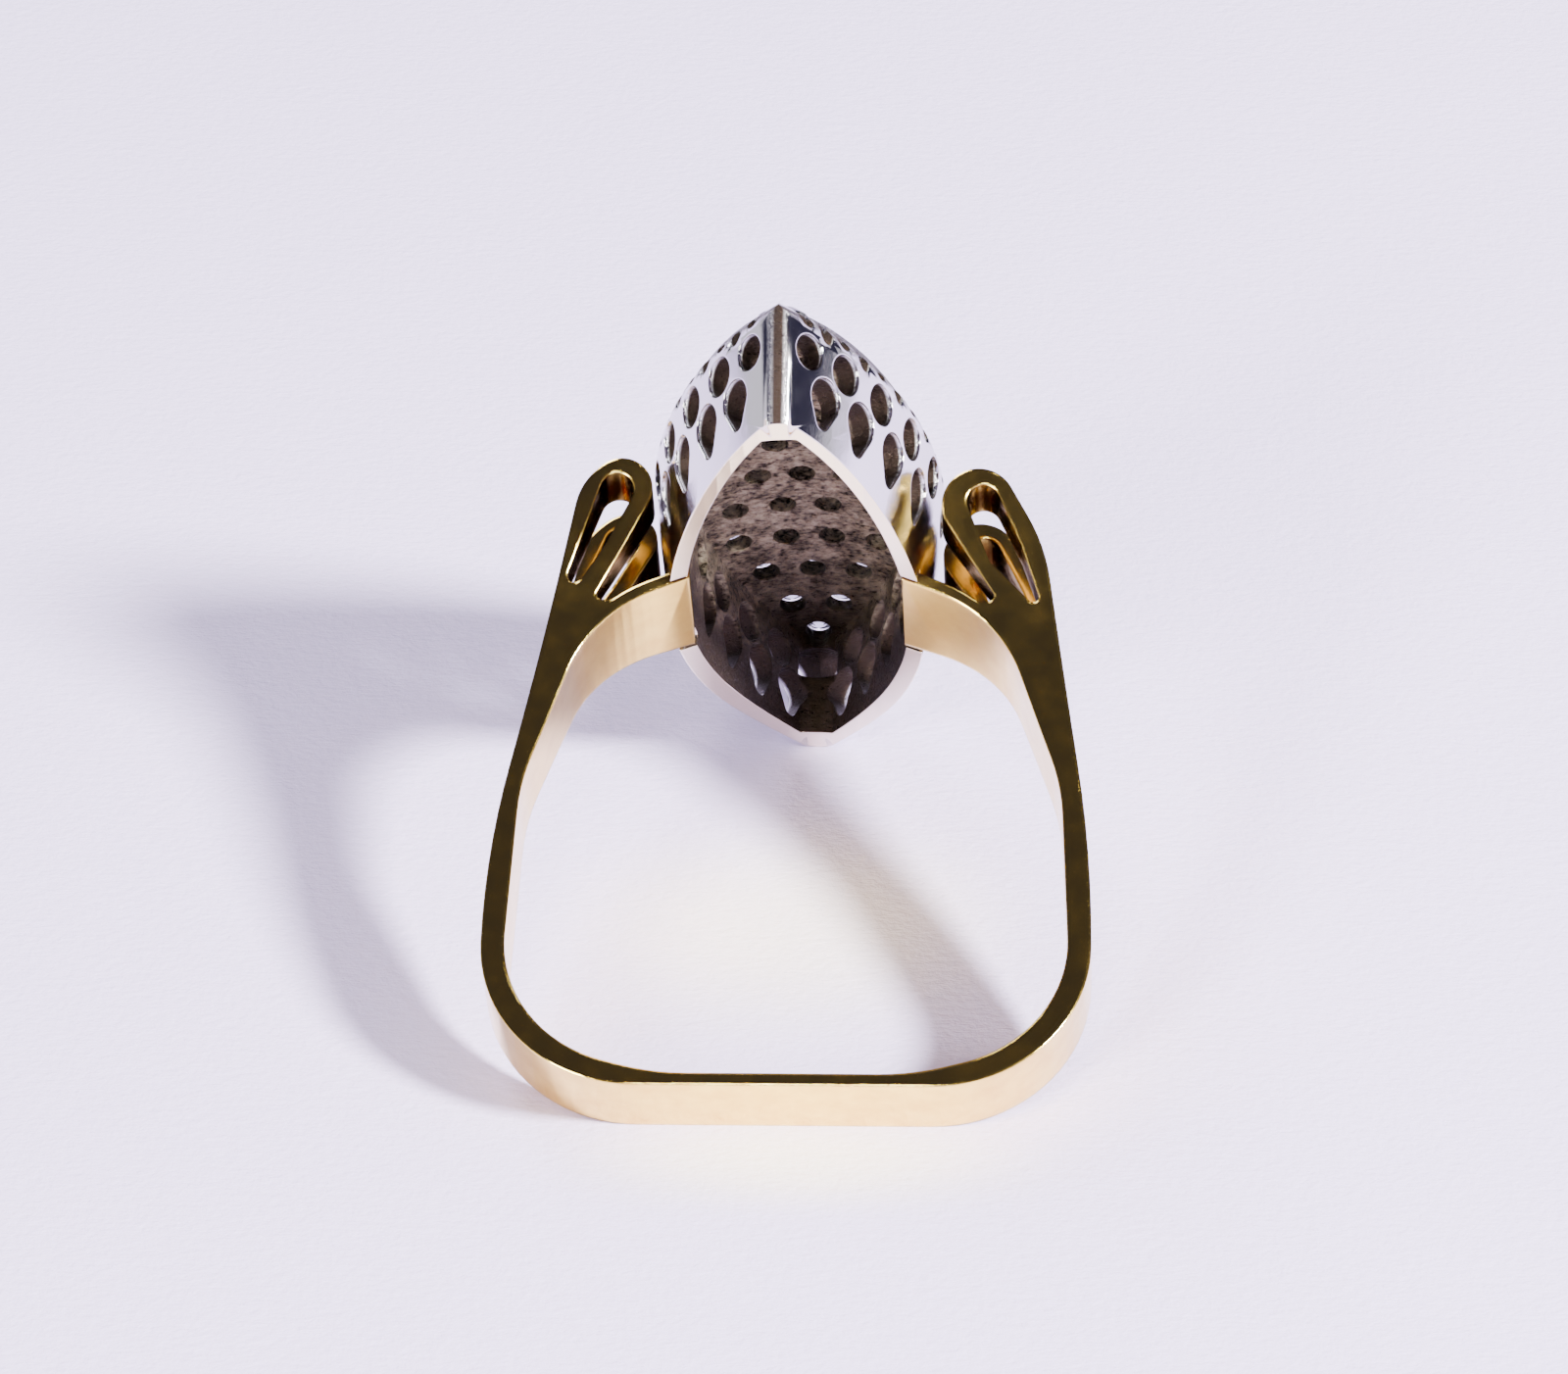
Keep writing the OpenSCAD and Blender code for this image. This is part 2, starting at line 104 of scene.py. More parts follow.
# %% [markdown]
# ## The ring's own axes
# The ring was drawn upright, with Z from the finger hole to the head, and then laid down on
# one edge of its shank and one nose of its head. Some finishes follow the ring and not the
# table: the hollow of the head is dull and dark while its outside is polished. So each
# material that needs it turns its coordinates back to the upright ring, in millimetres. A
# Mapping node of the Texture type does the inverse of a move, which is just what is needed.
# The head was set on the band with a slight twist, and a second Mapping node undoes that.

# %% Coordinates of the upright ring
REST_TILT = math.radians(25.292 - 90)
REST_PLACE = (0.0, -7.102 * MM, 3.764 * MM)
HEAD_TURN = math.radians(-1.8)
CROWN_Z = 12.972


def upright_mm(tree, turn=0.0):
    coordinates = add_node(tree, "ShaderNodeTexCoord")
    laid = add_node(tree, "ShaderNodeMapping", vector_type="TEXTURE", inputs={
        "Vector": coordinates.outputs["Object"], "Location": REST_PLACE,
        "Rotation": (REST_TILT, 0, 0), "Scale": (MM, MM, MM)})
    return add_node(tree, "ShaderNodeMapping", vector_type="TEXTURE", inputs={
        "Vector": laid, "Rotation": (0, 0, turn)})


crown = Matrix.Rotation(REST_TILT, 3, "X") @ Vector((0, 0, CROWN_Z)) + Vector(REST_PLACE) / MM
print("the crown of the arch lies", round(crown.z, 2), "mm above the paper")

# %% [markdown]
# ## Painted shade in the scrolls
# In the slots of the scrolls the gold is painted copper brown, as painted shade. An Ambient
# Occlusion node finds such places: it is near 1 on open metal and low where other metal
# stands within a millimetre or two. But it also finds the inside of the shank's corners,
# which stay bright. So the painted shade is let in only above the arch band, past a line
# that falls away to both sides. The mottle makes its edge uneven.

# %% How much painted shade a point gets
SHADE_REACH = 1.5 * MM
ARCH_FALL = 0.62
ARCH_LINE = (13.9, 14.3)
UNEVENNESS = 0.3
CLOSED_IN = (1.1, 0.8)


# painted shade: high where Ambient Occlusion finds metal close by, above the arch line
def slot_painted_shade(tree, place, mottle):
    x, _, z = add_node(tree, "ShaderNodeSeparateXYZ", inputs={0: place}).outputs
    aside = add_node(tree, "ShaderNodeMath", operation="ABSOLUTE", inputs={0: x})
    height = add_node(tree, "ShaderNodeMath", operation="MULTIPLY_ADD", inputs={
        0: aside, 1: ARCH_FALL, 2: z})
    above_arch = add_node(tree, "ShaderNodeMapRange", interpolation_type="SMOOTHSTEP", inputs={
        "Value": height, "From Min": ARCH_LINE[0], "From Max": ARCH_LINE[1]})
    open_air = add_node(tree, "ShaderNodeAmbientOcclusion", samples=6, inputs={
        "Distance": SHADE_REACH})
    uneven = add_node(tree, "ShaderNodeMath", operation="MULTIPLY_ADD", inputs={
        0: mottle, 1: UNEVENNESS, 2: open_air.outputs["AO"]})
    closed_in = add_node(tree, "ShaderNodeMapRange", interpolation_type="SMOOTHSTEP", inputs={
        "Value": uneven, "From Min": CLOSED_IN[0], "From Max": CLOSED_IN[1]})
    return add_node(tree, "ShaderNodeMath", operation="MULTIPLY", inputs={
        0: closed_in, 1: above_arch})


print("grime starts where metal stands within", round(SHADE_REACH / MM, 1), "mm")

# %% [markdown]
# ## The surface of worn gold
# Polish alone would make a perfect mirror. What tells the eye that it is old gold is a faint
# unevenness of the surface: hairline scratches that run around the band, a slow swell where
# the polishing wheel pressed, and a few tiny pits. The scratches are a noise that is squeezed
# across the band's width, so that its spots run long around the band. All are far lower than
# a shape could show, so they are a faint bump in the shading. The corners of a real ring are
# never sharp either, so a Bevel node rounds them in the shading too, which is what draws the
# bright thread of light along each edge.

# %% Scratches, swell, pits and rounded edges
SCRATCH_SQUEEZE = (1.2, 14.0, 1.2)
SCRATCH_TURN = (0.12, 0.05, 0.2)
SWELL = 0.6
PITS_PER_MM = 8.0
PIT_RIM = (0.66, 0.74)
PIT_DEPTH = 1.2
WEAR_STRENGTH = 0.1
WEAR_HEIGHT = 0.02 * MM


def worn_surface(tree, place, mottle, edge_radius):
    squeezed = add_node(tree, "ShaderNodeMapping", inputs={
        "Vector": place, "Scale": SCRATCH_SQUEEZE, "Rotation": SCRATCH_TURN})
    scratch = add_node(tree, "ShaderNodeTexNoise", inputs={
        "Vector": squeezed, "Scale": 1.0, "Detail": 4.0, "Roughness": 0.55})
    specks = add_node(tree, "ShaderNodeTexNoise", inputs={
        "Vector": place, "Scale": PITS_PER_MM, "Detail": 2.0, "Roughness": 0.55})
    pits = add_node(tree, "ShaderNodeMapRange", interpolation_type="SMOOTHSTEP", inputs={
        "Value": specks, "From Min": PIT_RIM[0], "From Max": PIT_RIM[1]})
    swell = add_node(tree, "ShaderNodeMath", operation="MULTIPLY_ADD", inputs={
        0: mottle, 1: SWELL, 2: scratch})
    relief = add_node(tree, "ShaderNodeMath", operation="MULTIPLY_ADD", inputs={
        0: pits, 1: -PIT_DEPTH, 2: swell})
    edge = add_node(tree, "ShaderNodeBevel", samples=8, inputs={"Radius": edge_radius})
    return add_node(tree, "ShaderNodeBump", inputs={
        "Strength": WEAR_STRENGTH, "Distance": WEAR_HEIGHT, "Height": relief, "Normal": edge})


print("scratches are squeezed", round(SCRATCH_SQUEEZE[1] / SCRATCH_SQUEEZE[0], 1), "times")

# %% [markdown]
# ## Yellow gold
# The shank is 18 carat gold, polished by hand and worn for years. One noise, with spots a
# little under a millimetre wide, changes its tone and its gloss together. The painted shade
# of the slots takes over both where it lies. Clean metal mirrors white at a glancing angle;
# in the painted shade the Specular Tint, which colours those glancing reflections, is brown.
# The function takes its colours as inputs, because the grains are made with it later.

# %% Yellow gold material
MOTTLE_PER_MM = 1.3
DEEPER_TONE = (0.35, 0.7)
GOLD_GLOSS = (0.1, 0.17)
SHADE_DULLS = 0.22


def gold_material(name, tint, deep, painted_shade, edge_radius, turn=0.0):
    material, tree = new_material(name)
    place = upright_mm(tree, turn)
    mottle = add_node(tree, "ShaderNodeTexNoise", inputs={
        "Vector": place, "Scale": MOTTLE_PER_MM, "Detail": 5.0, "Roughness": 0.55})
    painted_shade_mask = slot_painted_shade(tree, place, mottle)

    deeper = add_node(tree, "ShaderNodeMapRange", inputs={
        "Value": mottle, "From Min": DEEPER_TONE[0], "From Max": DEEPER_TONE[1]})
    worn = add_node(tree, "ShaderNodeMix", data_type="RGBA", inputs={
        "Factor": deeper, "A": linear(tint), "B": linear(deep)})
    # painted shade: in the slots the colour turns to a dark copper brown
    colour = add_node(tree, "ShaderNodeMix", data_type="RGBA", inputs={
        "Factor": painted_shade_mask, "A": worn, "B": linear(painted_shade)})
    # painted shade of the glancing reflections: brown instead of white in the slots
    glancing = add_node(tree, "ShaderNodeMix", data_type="RGBA", inputs={
        "Factor": painted_shade_mask, "A": linear("#FFFFFF"), "B": linear("#5E3D28")})

    gloss = add_node(tree, "ShaderNodeMapRange", inputs={
        "Value": mottle, "From Min": 0.3, "From Max": 0.7,
        "To Min": GOLD_GLOSS[0], "To Max": GOLD_GLOSS[1]})
    rough = add_node(tree, "ShaderNodeMath", operation="MULTIPLY_ADD", inputs={
        0: painted_shade_mask, 1: SHADE_DULLS, 2: gloss})
    shader = add_node(tree, "ShaderNodeBsdfPrincipled", inputs={
        "Base Color": colour, "Metallic": 1.0, "Roughness": rough, "Specular Tint": glancing,
        "Normal": worn_surface(tree, place, mottle, edge_radius)})
    add_node(tree, "ShaderNodeOutputMaterial", inputs={"Surface": shader})
    return material


# 3A2214 is the dark copper brown of the painted shade in the slots
yellow_gold = gold_material(
    "yellow_gold_18ct_worn_polish", tint="#F9D972", deep="#EAC463", painted_shade="#3A2214",
    edge_radius=0.15 * MM)
print("made", yellow_gold.name, "with", len(yellow_gold.node_tree.nodes), "nodes")

# %% [markdown]
# ## Inside and outside of the head
# The head is white gold. Outside it has the same worn polish as the shank. Inside it was
# never polished: the hollow, and the bores through wall and roof, are left as the drill and
# the burr made them. One material tells the two apart by how deep a point lies behind the
# outer wall. Seen from above, that wall is an arc about an axis on the far side of the head,
# and it leans outwards a little with height, so its depth is a short sum.

# %% Depth behind the outer wall, in millimetres
RIM_ARC = 15.395
WALL_AXIS = 11.095
WALL_LEAN = 0.144


def depth_behind_wall(tree, x, y, z):
    aside = add_node(tree, "ShaderNodeMath", operation="ABSOLUTE", inputs={0: x})
    across = add_node(tree, "ShaderNodeMath", operation="ADD", inputs={0: aside, 1: WALL_AXIS})
    along_squared = add_node(tree, "ShaderNodeMath", operation="MULTIPLY", inputs={0: y, 1: y})
    squares = add_node(tree, "ShaderNodeMath", operation="MULTIPLY_ADD", inputs={
        0: across, 1: across, 2: along_squared})
    from_axis = add_node(tree, "ShaderNodeMath", operation="SQRT", inputs={0: squares})
    arc = add_node(tree, "ShaderNodeMath", operation="MULTIPLY_ADD", inputs={
        0: z, 1: WALL_LEAN, 2: RIM_ARC - WALL_LEAN * CROWN_Z})
    return add_node(tree, "ShaderNodeMath", operation="SUBTRACT", inputs={0: arc, 1: from_axis})


print("the head is", round(2 * (RIM_ARC - WALL_AXIS), 1), "mm wide at its rim")

# %% [markdown]
# Two more parts of the head are polished though they lie behind the wall: the domed top, and
# the flat rim round the hollow, which rubs on the finger. Both are known by the way they
# face on the upright ring, and the rim also by its height.

# %% Where the head is dark, and where its rim is
WALL_SKIN = (0.04, 0.2)
DOME_FACING = (0.45, 0.7)
RIM_FACING = -0.55
RIM_HEIGHT = CROWN_Z + 0.2


def head_regions(tree, depth, z):
    facing = add_node(tree, "ShaderNodeVectorRotate", rotation_type="X_AXIS", inputs={
        "Vector": add_node(tree, "ShaderNodeNewGeometry").outputs["Normal"],
        "Angle": -REST_TILT})
    up = add_node(tree, "ShaderNodeSeparateXYZ", inputs={0: facing}).outputs[2]
    domed = add_node(tree, "ShaderNodeMapRange", interpolation_type="SMOOTHSTEP", inputs={
        "Value": up, "From Min": DOME_FACING[0], "From Max": DOME_FACING[1]})
    facing_down = add_node(tree, "ShaderNodeMath", operation="LESS_THAN", inputs={
        0: up, 1: RIM_FACING})
    low = add_node(tree, "ShaderNodeMath", operation="LESS_THAN", inputs={0: z, 1: RIM_HEIGHT})
    rim = add_node(tree, "ShaderNodeMath", operation="MULTIPLY", inputs={0: low, 1: facing_down})

    polished = add_node(tree, "ShaderNodeMath", operation="MAXIMUM", inputs={0: domed, 1: rim})
    unpolished = add_node(tree, "ShaderNodeMath", operation="SUBTRACT", inputs={
        0: 1.0, 1: polished})
    inside = add_node(tree, "ShaderNodeMapRange", interpolation_type="SMOOTHSTEP", inputs={
        "Value": depth, "From Min": WALL_SKIN[0], "From Max": WALL_SKIN[1]})
    dark = add_node(tree, "ShaderNodeMath", operation="MULTIPLY", inputs={
        0: inside, 1: unpolished})
    return dark, rim


print("the polish ends", WALL_SKIN[1], "mm behind the wall")

# %% [markdown]
# ## The crust in the hollow
# Years of wear have left a warm grey crust in the hollow. Close up it is a fine grit, a
# little drawn out, with larger cloudy patches over it, and both move between a dark and a
# pale stain. Towards the lower nose, where least light came in, painted shade takes it to
# nearly black brown. The bores through the wall, which is under 1 mm thick, are dark brown.

# %% Colour of the crust, with painted shade towards the lower nose
GRIT_SQUEEZE = (3.8, 6.5, 7.5)
GRIT_PALES = (0.0, 0.75)
PATCHES_PER_MM = 1.4
PATCHES_PALE = (-0.15, 0.4)
DARK_NOSE = (2.0, 10.0)
WALL_THICKNESS = (0.75, 0.95)


def hollow_grit(tree, place):
    drawn_out = add_node(tree, "ShaderNodeMapping", inputs={"Vector": place, "Scale": GRIT_SQUEEZE})
    return add_node(tree, "ShaderNodeTexNoise", inputs={
        "Vector": drawn_out, "Scale": 1.0, "Detail": 8.0, "Roughness": 0.72})


def hollow_stain_and_shade(tree, place, grit, depth, y):
    patches = add_node(tree, "ShaderNodeTexNoise", inputs={
        "Vector": place, "Scale": PATCHES_PER_MM, "Detail": 4.0, "Roughness": 0.6})
    fine = add_node(tree, "ShaderNodeMapRange", inputs={
        "Value": grit, "From Min": 0.4, "From Max": 0.62,
        "To Min": GRIT_PALES[0], "To Max": GRIT_PALES[1]})
    cloudy = add_node(tree, "ShaderNodeMapRange", inputs={
        "Value": patches, "From Min": 0.42, "From Max": 0.66,
        "To Min": PATCHES_PALE[0], "To Max": PATCHES_PALE[1]})
    paleness = add_node(tree, "ShaderNodeMath", operation="ADD", use_clamp=True, inputs={
        0: fine, 1: cloudy})
    crust = add_node(tree, "ShaderNodeMix", data_type="RGBA", inputs={
        "Factor": paleness, "A": linear("#2E261C"), "B": linear("#BDAD95")})
    # painted shade: the crust is darker towards the lower nose
    lower = add_node(tree, "ShaderNodeMapRange", interpolation_type="SMOOTHSTEP", inputs={
        "Value": y, "From Min": DARK_NOSE[0], "From Max": DARK_NOSE[1]})
    shaded = add_node(tree, "ShaderNodeMix", data_type="RGBA", inputs={
        "Factor": lower, "A": crust, "B": linear("#2B211A")})
    past_wall = add_node(tree, "ShaderNodeMapRange", interpolation_type="SMOOTHSTEP", inputs={
        "Value": depth, "From Min": WALL_THICKNESS[0], "From Max": WALL_THICKNESS[1]})
    return add_node(tree, "ShaderNodeMix", data_type="RGBA", inputs={
        "Factor": past_wall, "A": linear("#372D27"), "B": shaded})


print("grains of grit are about", round(1 / GRIT_SQUEEZE[1], 2), "mm wide")

# %% [markdown]
# ## White gold
# Outside, the white gold is a cool pale grey with a gloss that changes a little from spot to
# spot. The rim is a shade warmer, a painted reflection: in the photograph it takes on the
# yellow of the shank that stands beside it. In the hollow the grit drives the roughness too,
# and stands out as a bump, so the crust catches small lights instead of reflecting the room.
# Polished metal keeps three hundredths of that bump, just enough to break up a perfect mirror.

# %% White gold material, polished outside and dark in the hollow
POLISH_PER_MM = 1.8
POLISH_GLOSS = (0.07, 0.15)
GRIT_GLOSS = (0.22, 0.5)
GRIT_HEIGHT = 0.1 * MM
POLISHED_SHARE = 0.03
HEAD_EDGE = 0.06 * MM


def white_gold_material():
    material, tree = new_material("white_gold_polished_with_cast_hollow")
    place = upright_mm(tree, HEAD_TURN)
    x, y, z = add_node(tree, "ShaderNodeSeparateXYZ", inputs={0: place}).outputs
    depth = depth_behind_wall(tree, x, y, z)
    dark, rim = head_regions(tree, depth, z)
    grit = hollow_grit(tree, place)

    # painted reflection: the rim is tinted warm by the yellow shank beside it
    polished_with_rim_reflection = add_node(tree, "ShaderNodeMix", data_type="RGBA", inputs={
        "Factor": rim, "A": linear("#D6D3D8"), "B": linear("#F4E6D6")})
    colour = add_node(tree, "ShaderNodeMix", data_type="RGBA", inputs={
        "Factor": dark, "A": polished_with_rim_reflection, "B": hollow_stain_and_shade(tree, place, grit, depth, y)})

    mottle = add_node(tree, "ShaderNodeTexNoise", inputs={
        "Vector": place, "Scale": POLISH_PER_MM, "Detail": 5.0, "Roughness": 0.6})
    polish = add_node(tree, "ShaderNodeMapRange", inputs={
        "Value": mottle, "From Min": 0.3, "From Max": 0.7,
        "To Min": POLISH_GLOSS[0], "To Max": POLISH_GLOSS[1]})
    gritty = add_node(tree, "ShaderNodeMapRange", inputs={
        "Value": grit, "From Min": 0.35, "From Max": 0.65,
        "To Min": GRIT_GLOSS[0], "To Max": GRIT_GLOSS[1]})
    rough = add_node(tree, "ShaderNodeMix", data_type="FLOAT", inputs={
        "Factor": dark, "A": polish, "B": gritty})

    share = add_node(tree, "ShaderNodeMath", operation="MULTIPLY_ADD", inputs={
        0: dark, 1: 1 - POLISHED_SHARE, 2: POLISHED_SHARE})
    relief = add_node(tree, "ShaderNodeMath", operation="MULTIPLY", inputs={0: grit, 1: share})
    edge = add_node(tree, "ShaderNodeBevel", samples=8, inputs={"Radius": HEAD_EDGE})
    bump = add_node(tree, "ShaderNodeBump", inputs={
        "Strength": 1.0, "Distance": GRIT_HEIGHT, "Height": relief, "Normal": edge})
    shader = add_node(tree, "ShaderNodeBsdfPrincipled", inputs={
        "Base Color": colour, "Metallic": 1.0, "Roughness": rough, "Normal": bump})
    add_node(tree, "ShaderNodeOutputMaterial", inputs={"Surface": shader})
    return material


white_gold = white_gold_material()
print("made", white_gold.name, "with", len(white_gold.node_tree.nodes), "nodes")

# %% [markdown]
# ## Stones
# Small brilliants are colourless and very refractive: 2.42 against 1.5 for window glass.
# That one number makes them sparkle. Cut stones have flat facets, so nothing is smoothed. A
# trace of surface haze keeps a stone this small from turning into noise. The stones stay the
# frame's own nodes, and only take a material.

# %% Stone material
STONE_IOR = 2.417
HAZE_PER_MM = 2.5
MOST_HAZE = 0.05


def stone_material():
    material, tree = new_material("brilliant_cut_stone_clear")
    haze = add_node(tree, "ShaderNodeTexNoise", inputs={
        "Vector": upright_mm(tree), "Scale": HAZE_PER_MM, "Detail": 3.0, "Roughness": 0.5})
    rough = add_node(tree, "ShaderNodeMapRange", inputs={
        "Value": haze, "To Min": 0.0, "To Max": MOST_HAZE})
    shader = add_node(tree, "ShaderNodeBsdfPrincipled", inputs={
        "Base Color": linear("#CFD2DC"), "Roughness": rough, "IOR": STONE_IOR,
        "Transmission Weight": 1.0})
    add_node(tree, "ShaderNodeOutputMaterial", inputs={"Surface": shader})
    return material


clear_stone = stone_material()
stone_nodes = sorted(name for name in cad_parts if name.startswith("stone_"))
for name in stone_nodes:
    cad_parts[name].data.materials.clear()
    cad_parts[name].data.materials.append(clear_stone)
print(len(stone_nodes), "stones share", clear_stone.name)

# %% [markdown]
# ## Smooth copies of the two gold pieces
# The frame's solids arrive as loose triangles, each with its own corners, so a curved wall
# shows as facets and its edges can't be rounded. The frame itself is never changed. A copy
# has its doubled corners merged, and shading is smoothed everywhere except at real corners,
# those that turn by more than a chosen angle. Weighted normals keep the flat faces flat.
# The copy then stands for the solid, which stays behind it, hidden.

# %% Merge and smooth a copy of a solid
CORNER_ANGLE = math.radians(28)
SAME_CORNER = 0.0005 * MM


def smooth_copy(node, name, material):
    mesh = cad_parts[node].data.copy()
    mesh.name = name
    shape = bmesh.new()
    shape.from_mesh(mesh)
    before = len(shape.verts)
    bmesh.ops.remove_doubles(shape, verts=shape.verts, dist=SAME_CORNER)
    print(name, "merged", before, "corners to", len(shape.verts))
    shape.to_mesh(mesh)
    shape.free()
    mesh.materials.clear()
    mesh.materials.append(material)
    piece = bpy.data.objects.new(name, mesh)
    bpy.context.scene.collection.objects.link(piece)
    mesh.polygons.foreach_set("use_smooth", [True] * len(mesh.polygons))
    mesh.set_sharp_from_angle(angle=CORNER_ANGLE)
    weighted = piece.modifiers.new("flat_faces_stay_flat", "WEIGHTED_NORMAL")
    weighted.keep_sharp = True
    return piece


shank_piece = smooth_copy("shank", "gold_shank", yellow_gold)
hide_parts("shank")
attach(shank_piece, "root")

head_piece = smooth_copy("head", "white_gold_head", white_gold)
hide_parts("head")
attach(head_piece, "root")

# %% [markdown]
# ## Places of the grains
# Each stone is held by grains: beads of the head's own metal, pushed over the stone's edge
# with a graver and rounded with a hollow punch. They stand in the small triangles where
# three stones meet. The place of each is the middle of three neighbouring stones, so it
# follows from the stones, and is then lifted from their middles to the metal's surface.

# %% Find the places between the stones
STONE_REACH = 2.45 * MM
GRAIN_LIFT = 0.33 * MM


def stone_centre(name):
    low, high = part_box(name)
    return (low + high) / 2


centres = [stone_centre(name) for name in stone_nodes]
head_up = (Matrix.Rotation(REST_TILT, 3, "X") @ Vector((0, 0, 1))).normalized()
places = []
for i, a in enumerate(centres):
    for j in range(i + 1, len(centres)):
        b = centres[j]
        if (b - a).length > STONE_REACH:
            continue
        for c in centres[j + 1:]:
            if max((c - a).length, (c - b).length) < STONE_REACH:
                places.append((a + b + c) / 3 + head_up * GRAIN_LIFT)
print(len(places), "grains stand between", len(centres), "stones")

# %% [markdown]
# ## Grains
# Geometry Nodes set one small bead on each place. Its size, its roundness, the spread of
# sizes and the metal are inputs with names, so a jeweller could try others, and a fixed seed
# gives each bead the same size every time. The tree ends by making real meshes of the
# instances and giving them their metal.

# %% A tree that grows beads
BEAD_RINGS = 6
SIZE_SEED = 7


def grain_tree():
    tree = bpy.data.node_groups.new("grains_between_stones", "GeometryNodeTree")
    face = tree.interface
    face.new_socket("Places", in_out="INPUT", socket_type="NodeSocketGeometry")
    sockets = {}
    for label, kind in (("Grain radius", "Float"), ("Roundness", "Int"),
                        ("Size spread", "Float"), ("Metal", "Material")):
        made = face.new_socket(label, in_out="INPUT", socket_type="NodeSocket" + kind)
        sockets[label] = made.identifier
    face.new_socket("Grains", in_out="OUTPUT", socket_type="NodeSocketGeometry")

    start = add_node(tree, "NodeGroupInput").outputs
    bead = add_node(tree, "GeometryNodeMeshUVSphere", inputs={
        "Radius": start["Grain radius"], "Segments": start["Roundness"], "Rings": BEAD_RINGS})
    smooth = add_node(tree, "GeometryNodeSetShadeSmooth", inputs={0: bead})
    smallest = add_node(tree, "ShaderNodeMath", operation="SUBTRACT", inputs={
        0: 1.0, 1: start["Size spread"]})
    largest = add_node(tree, "ShaderNodeMath", operation="ADD", inputs={
        0: 1.0, 1: start["Size spread"]})
    size = add_node(tree, "FunctionNodeRandomValue", data_type="FLOAT", inputs={
        2: smallest, 3: largest, "Seed": SIZE_SEED})
    on_places = add_node(tree, "GeometryNodeInstanceOnPoints", inputs={
        "Points": start["Places"], "Instance": smooth, "Scale": size})
    real = add_node(tree, "GeometryNodeRealizeInstances", inputs={0: on_places})
    painted = add_node(tree, "GeometryNodeSetMaterial", inputs={
        "Geometry": real, "Material": start["Metal"]})
    add_node(tree, "NodeGroupOutput", inputs={"Grains": painted})
    return tree, sockets


tree, sockets = grain_tree()
print("the tree has", len(tree.nodes), "nodes and the inputs", ", ".join(sockets))

# %% [markdown]
# The grains are the head's own metal, but rubbed greyer, with only the finest rounding of
# their edges. The places become a mesh of loose points, the modifier grows the beads on it,
# and the result is kept as a plain mesh of its own.

# %% Grow the grains
GRAIN_RADIUS = 0.2 * MM
GRAIN_ROUNDNESS = 10
SIZE_SPREAD = 0.12

# 6E6664 is painted shade on the grains, where stones and metal stand close round them
grain_metal = gold_material(
    "white_gold_grains", tint="#DAD7DA", deep="#BDB9BC", painted_shade="#6E6664",
    edge_radius=0.04 * MM, turn=HEAD_TURN)
place_mesh = bpy.data.meshes.new("grain_places")
place_mesh.from_pydata([tuple(p) for p in places], [], [])
seeds = bpy.data.objects.new("grain_places", place_mesh)
bpy.context.scene.collection.objects.link(seeds)
grow = seeds.modifiers.new("grains", "NODES")
grow.node_group = tree
for label, value in (("Grain radius", GRAIN_RADIUS), ("Roundness", GRAIN_ROUNDNESS),
                     ("Size spread", SIZE_SPREAD), ("Metal", grain_metal)):
    grow[sockets[label]] = value

evaluated = seeds.evaluated_get(bpy.context.evaluated_depsgraph_get())
grain_mesh = bpy.data.meshes.new_from_object(evaluated)
bpy.data.objects.remove(seeds)
grains = bpy.data.objects.new("grains", grain_mesh)
bpy.context.scene.collection.objects.link(grains)
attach(grains, "root")
print("the grains come to", len(grain_mesh.polygons), "faces")

# %% [markdown]
# ## Paper
# The ring lies on white paper that the camera sees as a pale lavender. Gold throws warm
# light back on the paper beside it, and two soft pools of it are painted into the paper's
# colour: one in front of the polished bottom of the shank, and one in the middle of the
# finger hole. A pool is 1 at its centre and fades to 0 at its reach, which is longer one
# way than the other.

# %% A soft pool of warm light
def warm_pool(tree, place, centre, reach):
    offset = add_node(tree, "ShaderNodeMapping", vector_type="TEXTURE", inputs={
        "Vector": place, "Location": centre, "Scale": reach})
    distance = add_node(tree, "ShaderNodeVectorMath", operation="LENGTH", inputs={0: offset})
    return add_node(tree, "ShaderNodeMapRange", interpolation_type="SMOOTHERSTEP", inputs={
        "Value": distance, "From Min": 1.0, "From Max": 0.0})


FRONT_POOL = (0.6 * MM, -13.6 * MM, 0.0)
FRONT_REACH = (10.0 * MM, 3.4 * MM, 1.0)
MIDDLE_POOL = (0.0, -1.2 * MM, 0.0)
MIDDLE_REACH = (9.5 * MM, 8.0 * MM, 1.0)
MIDDLE_SHARE = 0.8
POOL_STRENGTH = 0.85
print("the front pool lies", round(-FRONT_POOL[1] / MM, 1), "mm before the ring's middle")

# %% [markdown]
# The paper has a fine tooth of pressed fibres, which lie a little more one way than the
# other. It is drawn between a quarter and two thirds of a millimetre wide, coarser than
# real paper, so that it shows from where the camera stands.

# %% Paper floor
PAPER_SIZE = 1.2
FIBRES_PER_METRE = (1500.0, 4200.0, 1.0)
FIBRE_TURN = (0, 0, 0.15)
SPECKS_PER_METRE = 2600.0
TOOTH_HEIGHT = 0.09 * MM


